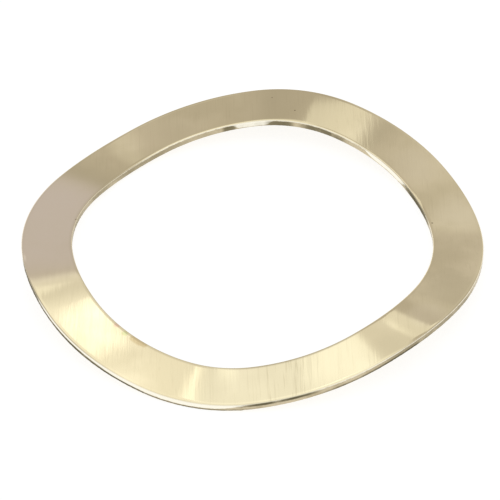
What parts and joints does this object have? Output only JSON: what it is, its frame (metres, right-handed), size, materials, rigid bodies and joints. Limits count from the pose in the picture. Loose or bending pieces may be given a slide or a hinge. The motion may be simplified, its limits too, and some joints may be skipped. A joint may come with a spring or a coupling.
{
  "type": "wave spring washer",
  "caption": "Thin flat brass ring pressed into even waves, a light spring that takes up end play between a bearing and a shoulder on a shaft.",
  "frame": {"origin": "on the ring's axis, at the height of the surface that its troughs rest on", "axes": "+Z along the ring's axis, upwards; +X through a crest"},
  "size_m": [0.032, 0.032, 0.0024],
  "materials": {
    "brass": "satin"
  },
  "bodies": {
    "root": {"wave_washer": "brass"}
  },
  "joints": []
}
